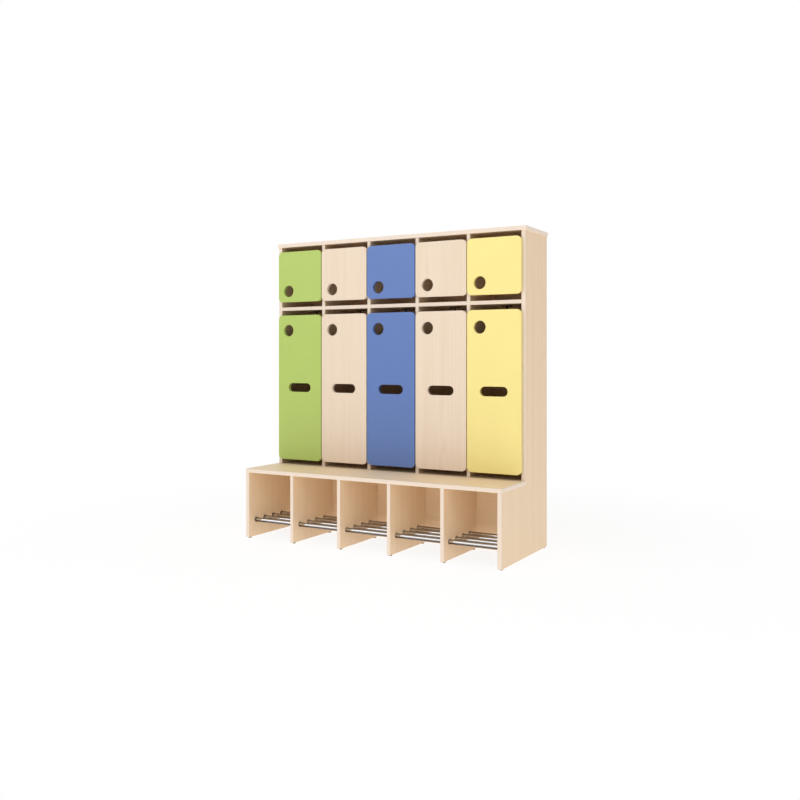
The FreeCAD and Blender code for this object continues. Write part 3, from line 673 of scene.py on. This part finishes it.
def dress(piece, material, body, slot, *nodes):
    """Gives a new piece its finish and lets it stand for CAD nodes on a body."""
    piece.data.materials.clear()
    piece.data.materials.append(material)
    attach(piece, body)
    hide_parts(*nodes)


def solids(node):
    """The boxes of a CAD node's separate solids, as pairs of corners."""
    mesh = bmesh.new()
    mesh.from_mesh(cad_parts[node].data)
    bmesh.ops.remove_doubles(mesh, verts=mesh.verts, dist=1e-6)
    left = set(mesh.verts)
    boxes = []
    while left:
        island = set()
        waiting = [left.pop()]
        while waiting:
            point = waiting.pop()
            island.add(point)
            for edge in point.link_edges:
                other = edge.other_vert(point)
                if other in left:
                    left.discard(other)
                    waiting.append(other)
        spots = [point.co for point in island]
        boxes.append((Vector(map(min, *spots)), Vector(map(max, *spots))))
    mesh.free()
    return sorted(boxes, key=lambda pair: tuple(round(part, 5) for part in pair[0]))


def centre(pair):
    return (pair[0] + pair[1]) / 2


def moved(spot, turn=(0, 0, 0)):
    return Matrix.Translation(spot) @ Euler(turn).to_matrix().to_4x4()


def cross_screw(head, height, shank, reach, domed=True):
    """A screw along Z with a cross in its head. The head ends at the origin and the shank goes up from it."""
    fittings = bpy.context.scene.bench_fittings
    screw = turned(head, -height, 0, sides=20)
    if domed:
        pick("edges", rim_at((0, 0, -1), height, head))
        bevel(height * 0.62, 3)
    pick("faces", looks((0, 0, 1), 0))
    inset(head - shank)
    extrude((0, 0, reach * 0.72))
    extrude((0, 0, reach * 0.28))
    bpy.ops.transform.resize(value=(0.2, 0.2, 1))
    end(screw)
    wide, thin, deep = head * 0.52, head * 0.11, fittings.recess
    for a, b in ((wide, thin), (thin, wide)):
        carve(screw, end(block((-a, -b, -height - 1 * MM), (a, b, -height + deep))))
    return screw


class BENCH_OT_rails(bpy.types.Operator):
    """Finishes the chrome shoe rails and turns the sockets that hold their ends"""
    bl_idname = "object.bench_rails"
    bl_label = "Shoe Rails"

    def execute(self, context):
        colours, fittings = context.scene.bench_colours, context.scene.bench_fittings
        # The chrome gets painted reflection shade on its upper and lower faces.
        chrome = metal_finish("chrome tube", paint(colours.chrome), 0.085, 0.04, (3, 900, 900),
                              paint(colours.painted_reflection_shade))
        for bay in range(1, BAYS + 1):
            give(f"shoe_rails_{bay}", chrome)
        radius = 11.1 * MM
        wall = 1 * MM
        height = 8 * MM
        bore = 6 * MM
        peg_radius = 5 * MM
        beside = 20 * MM
        cup = turned(radius, 0, height)
        pick("faces", looks((0, 0, 1), height))
        inset(wall)
        extrude((0, 0, -bore))
        pick("edges", rim_at((0, 0, 1), height))
        bevel(fittings.rim, 2)
        pick("faces", looks((0, 0, -1), 0))
        inset(radius - peg_radius)
        extrude((0, 0, -PEG_LENGTH))
        end(cup)
        rails = [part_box(f"shoe_rails_{bay}") for bay in range(1, BAYS + 1)]
        places = []
        for pair in solids("rail_sockets"):
            spot = centre(pair)
            left, right = next(box for box in rails if box[0].x - beside < spot.x < box[1].x + beside)
            faces_right = spot.x < (left.x + right.x) / 2
            foot = pair[0].x + PEG_LENGTH if faces_right else pair[1].x - PEG_LENGTH
            turn = math.pi / 2 if faces_right else -math.pi / 2
            places.append(moved((foot, spot.y, spot.z), (0, turn, 0)))
        sockets = copies("rail_socket_cups", cup, places)
        drop(cup)
        finish = plastic_finish("dark socket", paint(colours.socket), 0.42, 1500)
        dress(sockets, finish, "carcass", "chrome_tube", "rail_sockets")
        return {"FINISHED"}


class BENCH_OT_hooks(bpy.types.Operator):
    """Models the two-armed coat hooks under the shelves and their screws"""
    bl_idname = "object.bench_hooks"
    bl_label = "Coat Hooks"

    def execute(self, context):
        colours, fittings = context.scene.bench_colours, context.scene.bench_fittings
        coat = plastic_finish("black powder coat", paint(colours.hook), 0.5, 1400)
        half_length = 25 * MM
        half_width = 9 * MM
        thickness = 3 * MM
        corner = 8.5 * MM
        rounding = 1.2 * MM
        plate = block((-half_length, -half_width, -thickness), (half_length, half_width, 0))
        pick("edges", lambda edge: abs(edge.verts[0].co.z - edge.verts[1].co.z) > MM)
        bevel(corner, 6)
        pick("edges", lambda edge: all(point.co.z < 0.1 * MM - thickness for point in edge.verts))
        bevel(rounding, 3)
        end(plate)
        model = merge("hook_model", [plate, self.arms(fittings)])
        for bay in range(1, BAYS + 1):
            lo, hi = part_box(f"coat_hook_{bay}")
            hook = copies(f"hook_{bay}", model, [moved(((lo.x + hi.x) / 2, (lo.y + hi.y) / 2, hi.z))])
            dress(hook, coat, "carcass", "hook_black", f"coat_hook_{bay}")
        drop(model)
        screw = cross_screw(head=3.5 * MM, height=HOOK_SCREW_HEAD, shank=1.75 * MM, reach=15 * MM)
        places = [moved((*centre(pair).xy, pair[0].z + HOOK_SCREW_HEAD)) for pair in solids("hook_screws")]
        screws = copies("hook_screw_set", screw, places)
        drop(screw)
        black = metal_finish("blackened screw", paint(colours.hook), 0.4, 0.1, (800, 800, 800))
        dress(screws, black, "carcass", "screw_steel", "hook_screws")
        return {"FINISHED"}

    def arms(self, fittings):
        """A stem with two upturned arms, grown round a line of points."""
        line = begin(bpy.ops.mesh.primitive_plane_add, size=0.01)
        pick("verts", lambda point: True)
        bpy.ops.mesh.merge(type="CENTER")
        stem_top = -2.5
        stem_steps = [-8, -12, -14.5]
        arm_steps = [(9, 0), (8, 0.6), (5.8, 3.2), (3.6, 4.6), (1.4, 3.8)]
        stem_foot = (stem_top + sum(stem_steps) + 0.1) * MM
        bpy.ops.transform.translate(value=(0, 0, stem_top * MM))
        radii = [fittings.stem * 1.35, fittings.stem, fittings.stem, fittings.stem * 1.05]
        for z in stem_steps:
            bpy.ops.mesh.extrude_vertices_move(TRANSFORM_OT_translate={"value": (0, 0, z * MM)})
        for way in (1, -1):
            pick("verts", lambda point: point.co.z < stem_foot and abs(point.co.x) < 1e-6)
            for x, z in arm_steps:
                step = {"value": (way * x * MM, 0, z * MM)}
                bpy.ops.mesh.extrude_vertices_move(TRANSFORM_OT_translate=step)
            radii += [fittings.arm, fittings.arm, fittings.arm, fittings.arm * 1.05, fittings.tip]
        bpy.ops.object.mode_set(mode="OBJECT")
        bpy.ops.object.modifier_add(type="SKIN")
        for point, radius in zip(line.data.skin_vertices[0].data, radii):
            point.radius = (radius, radius)
        line.data.skin_vertices[0].data[0].use_root = True
        bpy.ops.object.modifier_apply(modifier=line.modifiers[0].name)
        apply_modifier(line, "SUBSURF", levels=2, render_levels=2)
        bpy.ops.object.shade_smooth()
        return line


class BENCH_OT_hinges(bpy.types.Operator):
    """Models the concealed hinges: cups, arms, pins, mounting plates and their screws"""
    bl_idname = "object.bench_hinges"
    bl_label = "Hinges"

    def execute(self, context):
        colours = context.scene.bench_colours
        nickel = metal_finish("nickel plate", paint(colours.nickel), 0.26, 0.14, (500, 90, 500))
        zinc = metal_finish("zinc plate", paint(colours.zinc), 0.32, 0.14, (700, 700, 700))
        pins = [centre(pair) for pair in solids("hinge_pins")]
        cup, arm, plate, pin = self.cup(), self.arm(), self.plate(), self.pin()
        for row in BOTH_ROWS:
            for bay in range(1, BAYS + 1):
                lo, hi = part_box(f"{row}_door_{bay}")
                here = [spot for spot in pins if lo.x < spot.x < hi.x and lo.z < spot.z < hi.z]
                cups = copies(f"{row}_hinge_cup_pair_{bay}", cup, [moved(spot) for spot in here])
                dress(cups, nickel, f"{row}_door_body_{bay}", "hinge_steel", f"{row}_door_hinge_cups_{bay}")
        every = [moved(spot) for spot in pins]
        for name, model, node in (("hinge_arm_set", arm, "hinge_arms"), ("hinge_pin_set", pin, "hinge_pins"),
                                  ("hinge_plate_set", plate, "hinge_plates")):
            dress(copies(name, model, every), nickel, "carcass", "hinge_steel", node)
        screw = cross_screw(head=4.25 * MM, height=PLATE_SCREW_HEAD, shank=2.5 * MM, reach=14 * MM)
        places = [moved((pair[0].x + PLATE_SCREW_HEAD, *centre(pair).yz), (0, math.pi / 2, 0))
                  for pair in solids("hinge_plate_screws")]
        screws = copies("hinge_plate_screw_set", screw, places)
        dress(screws, zinc, "carcass", "screw_steel", "hinge_plate_screws")
        drop(cup, arm, plate, pin, screw)
        return {"FINISHED"}

    def cup(self):
        """A pressed cup with a rounded floor, a flange with round corners, two peg heads and two lugs."""
        middle = -12.5 * MM
        radius = 17.5 * MM
        wall = 1 * MM
        mouth = 8.8 * MM
        underside = -4 * MM
        shell = turned(radius, underside, mouth, "Y", (middle, 0))
        pick("faces", looks((0, 1, 0), mouth))
        inset(wall)
        extrude((0, underside + wall - mouth, 0))
        pick("edges", rim_at((0, 1, 0), underside + wall))
        bevel(2.4 * MM, 3)
        pick("edges", rim_at((0, 1, 0), mouth, radius, (middle, 0, 0)))
        bevel(0.35 * MM, 2)
        end(shell)
        flange_left = -27 * MM
        flange_right = -7 * MM
        flange_reach = 29 * MM
        flange_seat = 8 * MM
        opening = 16.6 * MM
        flange = block((flange_left, flange_seat, -flange_reach), (flange_right, mouth, flange_reach))
        pick("edges", lambda edge: abs(edge.verts[0].co.y - edge.verts[1].co.y) > 0.5 * MM)
        bevel(6 * MM, 5)
        end(flange)
        carve(flange, end(turned(opening, 5 * MM, 12 * MM, "Y", (middle, 0))))
        soften(flange, 0.25 * MM, 1)
        parts = [shell, flange]
        peg_radius = 4 * MM
        peg_foot = -2 * MM
        peg_top = 9.5 * MM
        peg_x = -22 * MM
        peg_z = 22.5 * MM
        lug_radius = 3 * MM
        lug_near = 5.3 * MM
        lug_far = 8 * MM
        lug_drop = 0.6 * MM
        for way in (-1, 1):
            head = turned(peg_radius, peg_foot, peg_top, "Y", (peg_x, way * peg_z), 20)
            pick("edges", rim_at((0, 1, 0), peg_top))
            bevel(0.6 * MM, 2)
            parts.append(end(head))
            low, high = sorted((way * lug_near, way * lug_far))
            lug = turned(lug_radius, low, high, "Z", (0, 0), 16)
            pick("faces", lambda face: face.normal.y < -0.3)
            extrude((0, -lug_drop, 0))
            parts.append(end(lug))
        return merge("cup_model", parts)

    def arm(self):
        """A gooseneck strip drawn out of a bar, an eye round the pin and a body with two adjusting screws."""
        half = 5 * MM
        metal = 3 * MM
        end_x = -15 * MM
        neck_x = end_x + metal
        neck_rise = 13 * MM
        neck_reach = 6 * MM
        shoulder = 14 * MM
        strip = block((end_x, -2 * MM, -half), (0, 1 * MM, half))
        bpy.ops.mesh.select_all(action="SELECT")
        bpy.ops.mesh.bisect(plane_co=(neck_x, 0, 0), plane_no=(1, 0, 0))
        pick("faces", lambda face: face.normal.y > 0.9 and face.calc_center_median().x < neck_x)
        extrude((0, neck_rise, 0))
        extrude((0, metal, 0))
        pick("faces", lambda face: face.normal.x > 0.9 and face.calc_center_median().y > shoulder)
        extrude((neck_reach, 0, 0))
        end(strip)
        soften(strip, 0.9 * MM, 3)
        eye_radius = 2.6 * MM
        eye = turned(eye_radius, -half, half, "Z", (0, 0), 20)
        pick("edges", lambda edge: abs(abs(edge.verts[0].co.z) - half) < 1e-5
             and abs(edge.verts[0].co.z - edge.verts[1].co.z) < 1e-6)
        bevel(0.3 * MM, 2)
        end(eye)
        body_top = 9 * MM
        body_foot = 1 * MM
        body_end = 62 * MM
        body = block((-body_top, shoulder, -half), (-body_foot, body_end, half))
        pick("edges", lambda edge: all(point.co.x < MM - body_top for point in edge.verts)
             and abs(edge.verts[0].co.y - edge.verts[1].co.y) > MM)
        bevel(2 * MM, 3)
        pick("faces", looks((-1, 0, 0), body_top))
        sunk = 0.6 * MM
        border = 1.4 * MM
        inset(border)
        extrude((sunk, 0, 0))
        end(body)
        soften(body, 0.3 * MM, 1)
        parts = [strip, eye, body]
        for y in (27 * MM, 50 * MM):
            screw = cross_screw(head=2.6 * MM, height=sunk, shank=1.5 * MM, reach=3 * MM, domed=False)
            screw.data.transform(moved((sunk - body_top, y, 0), (0, math.pi / 2, 0)))
            parts.append(screw)
        return merge("arm_model", parts)

    def plate(self):
        """A winged plate under the arm."""
        foot = 2 * MM
        rib_top, rib_front, rib_back, rib_half = -1 * MM, 17 * MM, 59 * MM, 8 * MM
        wing_top, wing_front, wing_back, wing_half = -0.8 * MM, 41 * MM, 55 * MM, 24 * MM
        rib = block((rib_top, rib_front, -rib_half), (foot, rib_back, rib_half))
        pick("edges", lambda edge: abs(edge.verts[0].co.x - edge.verts[1].co.x) > MM)
        bevel(2.5 * MM, 4)
        end(rib)
        soften(rib, 0.4 * MM)
        wings = block((wing_top, wing_front, -wing_half), (foot, wing_back, wing_half))
        pick("edges", lambda edge: abs(edge.verts[0].co.x - edge.verts[1].co.x) > MM)
        bevel(6 * MM, 6)
        end(wings)
        soften(wings, 0.4 * MM)
        return merge("plate_model", [rib, wings])

    def pin(self):
        """A rivet with rounded ends."""
        radius = 1.5 * MM
        half = 8 * MM
        rivet = turned(radius, -half, half, "Z", (0, 0), 16)
        pick("edges", lambda edge: abs(edge.verts[0].co.z - edge.verts[1].co.z) < 1e-6)
        bevel(0.5 * MM, 2)
        return end(rivet)


class BENCH_OT_screws(bpy.types.Operator):
    """Models the screws that hold the locker's back board"""
    bl_idname = "object.bench_back_screws"
    bl_label = "Back Screws"

    def execute(self, context):
        colours = context.scene.bench_colours
        zinc = metal_finish("zinc back screw", paint(colours.zinc), 0.34, 0.14, (700, 700, 700))
        screw = cross_screw(head=3 * MM, height=BACK_SCREW_HEAD, shank=1.5 * MM, reach=14.4 * MM)
        places = [moved((centre(pair).x, pair[1].y - BACK_SCREW_HEAD, centre(pair).z), (math.pi / 2, 0, 0))
                  for pair in solids("back_panel_screws")]
        screws = copies("back_screw_set", screw, places)
        drop(screw)
        dress(screws, zinc, "carcass", "screw_steel", "back_panel_screws")
        return {"FINISHED"}


class BENCH_OT_glides(bpy.types.Operator):
    """Models the domed glides under the upright boards"""
    bl_idname = "object.bench_glides"
    bl_label = "Glides"

    def execute(self, context):
        radius = 7 * MM
        height = 5 * MM
        peg_radius = 2.5 * MM
        peg = 12 * MM
        foot = turned(radius, 0, height)
        pick("edges", rim_at((0, 0, 1), 0, radius))
        bevel(context.scene.bench_fittings.dome, 4)
        pick("faces", looks((0, 0, -1), 0))
        inset(2 * MM)
        extrude((0, 0, 0.8 * MM))
        pick("faces", looks((0, 0, 1), height))
        inset(radius - peg_radius)
        extrude((0, 0, peg))
        pick("edges", rim_at((0, 0, 1), height, radius))
        bevel(0.5 * MM, 2)
        end(foot)
        places = [moved((*centre(pair).xy, pair[0].z)) for pair in solids("glides")]
        feet = copies("glide_feet", foot, places)
        drop(foot)
        grey = plastic_finish("grey glide", paint(context.scene.bench_colours.glide), 0.52, 1200)
        dress(feet, grey, "carcass", "glide_grey", "glides")
        return {"FINISHED"}


class BENCH_OT_stops(bpy.types.Operator):
    """Models the clear soft stops behind the doors' free edges"""
    bl_idname = "object.bench_stops"
    bl_label = "Soft Stops"

    def execute(self, context):
        pairs = solids("door_bumpers")
        reach = pairs[0][1].y - pairs[0][0].y
        radius = 2.5 * MM
        stop = turned(radius, -reach, 0, "Y", (0, 0), 20)
        pick("edges", rim_at((0, -1, 0), reach, radius))
        bevel(1.6 * MM, 4)
        end(stop, 60)
        places = [moved((centre(pair).x, pair[1].y, centre(pair).z)) for pair in pairs]
        stops = copies("soft_stop_set", stop, places)
        drop(stop)
        clear = plastic_finish("clear stop", paint(context.scene.bench_colours.stop), 0.25, 600, 0.6)
        dress(stops, clear, "carcass", "bumper_clear", "door_bumpers")
        return {"FINISHED"}


class BENCH_OT_dowels(bpy.types.Operator):
    """Finishes the beech dowels inside the boards"""
    bl_idname = "object.bench_dowels"
    bl_label = "Dowels"

    def execute(self, context):
        beech = paint(context.scene.bench_colours.beech)
        for node, axis in (("panel_dowels", "Z"), ("shelf_dowels", "X")):
            finish = Finish(f"beech {node}")
            give(node, close_board(finish, maple(finish, axis, "Y", 3.3, beech)))
        return {"FINISHED"}


# Stage

class BENCH_OT_stage(bpy.types.Operator):
    """Lays the pale floor, sets the sky and the lamps and places the camera"""
    bl_idname = "object.bench_stage"
    bl_label = "Stage"

    def execute(self, context):
        stage = context.scene.bench_stage
        context.scene.view_settings.view_transform = "Standard"
        self.floor(stage)
        self.sky(context.scene, stage)
        for name, lamp in LAMPS.items():
            self.lamp(f"{name}_lamp", lamp["spot"], getattr(stage, name), lamp["size"])
        self.camera(context.scene, stage)
        return {"FINISHED"}

    def floor(self, stage):
        """A wide round floor that ends far outside the picture."""
        radius = 14
        border = 2
        floor = begin(bpy.ops.mesh.primitive_circle_add, vertices=64, radius=radius, fill_type="NGON")
        bpy.ops.mesh.select_all(action="SELECT")
        inset(border)
        bpy.ops.object.mode_set(mode="OBJECT")
        floor.name = "floor"
        finish = Finish("pale floor")
        cloud = finish.noise(finish.place(), (0.6, 0.6, 0.6), (0, 0, 0), 2) - 0.5
        pale = paint(stage.floor)
        tone = finish.mix(0.5 + cloud * 0.4, scaled(pale, 0.985), scaled(pale, 1.015))
        plain = finish.node("ShaderNodeBsdfDiffuse", (), {"Color": tone})
        lit = finish.add_shader(plain, finish.light("ShaderNodeEmission", stage.lift))
        shaded = finish.add_shader(plain, finish.light("ShaderNodeEmission", stage.haze))
        x, y = finish.split(finish.place())[:2]
        away = finish.fade((x * x + y * y) ** 0.5, stage.clear * 0.4, stage.clear)
        white = finish.light("ShaderNodeEmission", 1)
        shown = finish.mix_shader(stage.glow + away * (1 - stage.glow), shaded, white)
        floor.data.materials.append(finish.end(finish.mix_shader(self.seen(finish), lit, shown)))

    def seen(self, finish):
        """1 for the camera, for reflections and through clear parts."""
        total = None
        for name in ("Is Camera Ray", "Is Glossy Ray", "Is Transmission Ray"):
            ray = finish.node("ShaderNodeLightPath", (), (), name)
            total = ray if total is None else finish.larger(total, ray)
        return total

    def sky(self, scene, stage):
        """Dim light from all round, in front of which the camera and reflections see white."""
        scene.world = bpy.data.worlds.new("studio")
        air = Finish(scene.world, "ShaderNodeOutputWorld")
        dim = air.light("ShaderNodeBackground", stage.sky)
        white = air.light("ShaderNodeBackground", 1)
        air.end(air.mix_shader(self.seen(air), dim, white))

    def lamp(self, name, spot, power, size):
        bpy.ops.object.select_all(action="DESELECT")
        turn = (LAMP_AIM - Vector(spot)).to_track_quat("-Z", "Y").to_euler()
        bpy.ops.object.light_add(type="AREA", location=spot, rotation=turn)
        lamp = bpy.context.object
        lamp.name = name
        lamp.data.shape = "RECTANGLE"
        lamp.data.size, lamp.data.size_y = size
        lamp.data.energy = power
        lamp.visible_camera = False

    def camera(self, scene, stage):
        bpy.ops.object.camera_add(location=stage.eye, rotation=(math.pi / 2, 0, stage.turn))
        camera = bpy.context.object
        camera.name = "camera"
        camera.data.sensor_width = 36
        camera.data.lens = stage.lens
        camera.data.shift_y = stage.rise
        camera.data.clip_end = 100
        scene.camera = camera


class BENCH_PT_panel(bpy.types.Panel):
    """Lists the steps that dress the bench and what can be changed"""
    bl_idname = "BENCH_PT_panel"
    bl_label = "Cloakroom Bench"
    bl_space_type = "VIEW_3D"
    bl_region_type = "UI"
    bl_category = "Bench"

    def draw(self, context):
        for step in STEPS:
            self.layout.operator(step.bl_idname)
        for group in GROUPS:
            box = self.layout.box()
            settings = getattr(context.scene, group)
            for name in settings.bl_rna.properties.keys():
                if name not in ("rna_type", "name"):
                    box.prop(settings, name)


STEPS = (BENCH_OT_carcass, BENCH_OT_backs, BENCH_OT_doors, BENCH_OT_rails, BENCH_OT_hooks, BENCH_OT_hinges,
         BENCH_OT_screws, BENCH_OT_glides, BENCH_OT_stops, BENCH_OT_dowels, BENCH_OT_stage)
GROUPS = {"bench_colours": BenchColours, "bench_grain": BenchGrain, "bench_fittings": BenchFittings,
          "bench_stage": BenchStage}


def register():
    for kind in (*GROUPS.values(), *STEPS, BENCH_PT_panel):
        bpy.utils.register_class(kind)
    for name, kind in GROUPS.items():
        setattr(bpy.types.Scene, name, PointerProperty(type=kind))


def unregister():
    for name in GROUPS:
        delattr(bpy.types.Scene, name)
    for kind in reversed((*GROUPS.values(), *STEPS, BENCH_PT_panel)):
        bpy.utils.unregister_class(kind)


def main():
    register()
    bpy.ops.object.bench_carcass()
    bpy.ops.object.bench_backs()
    bpy.ops.object.bench_doors()
    bpy.ops.object.bench_rails()
    bpy.ops.object.bench_hooks()
    bpy.ops.object.bench_hinges()
    bpy.ops.object.bench_back_screws()
    bpy.ops.object.bench_glides()
    bpy.ops.object.bench_stops()
    bpy.ops.object.bench_dowels()
    bpy.ops.object.bench_stage()


if __name__ == "__main__":
    main()
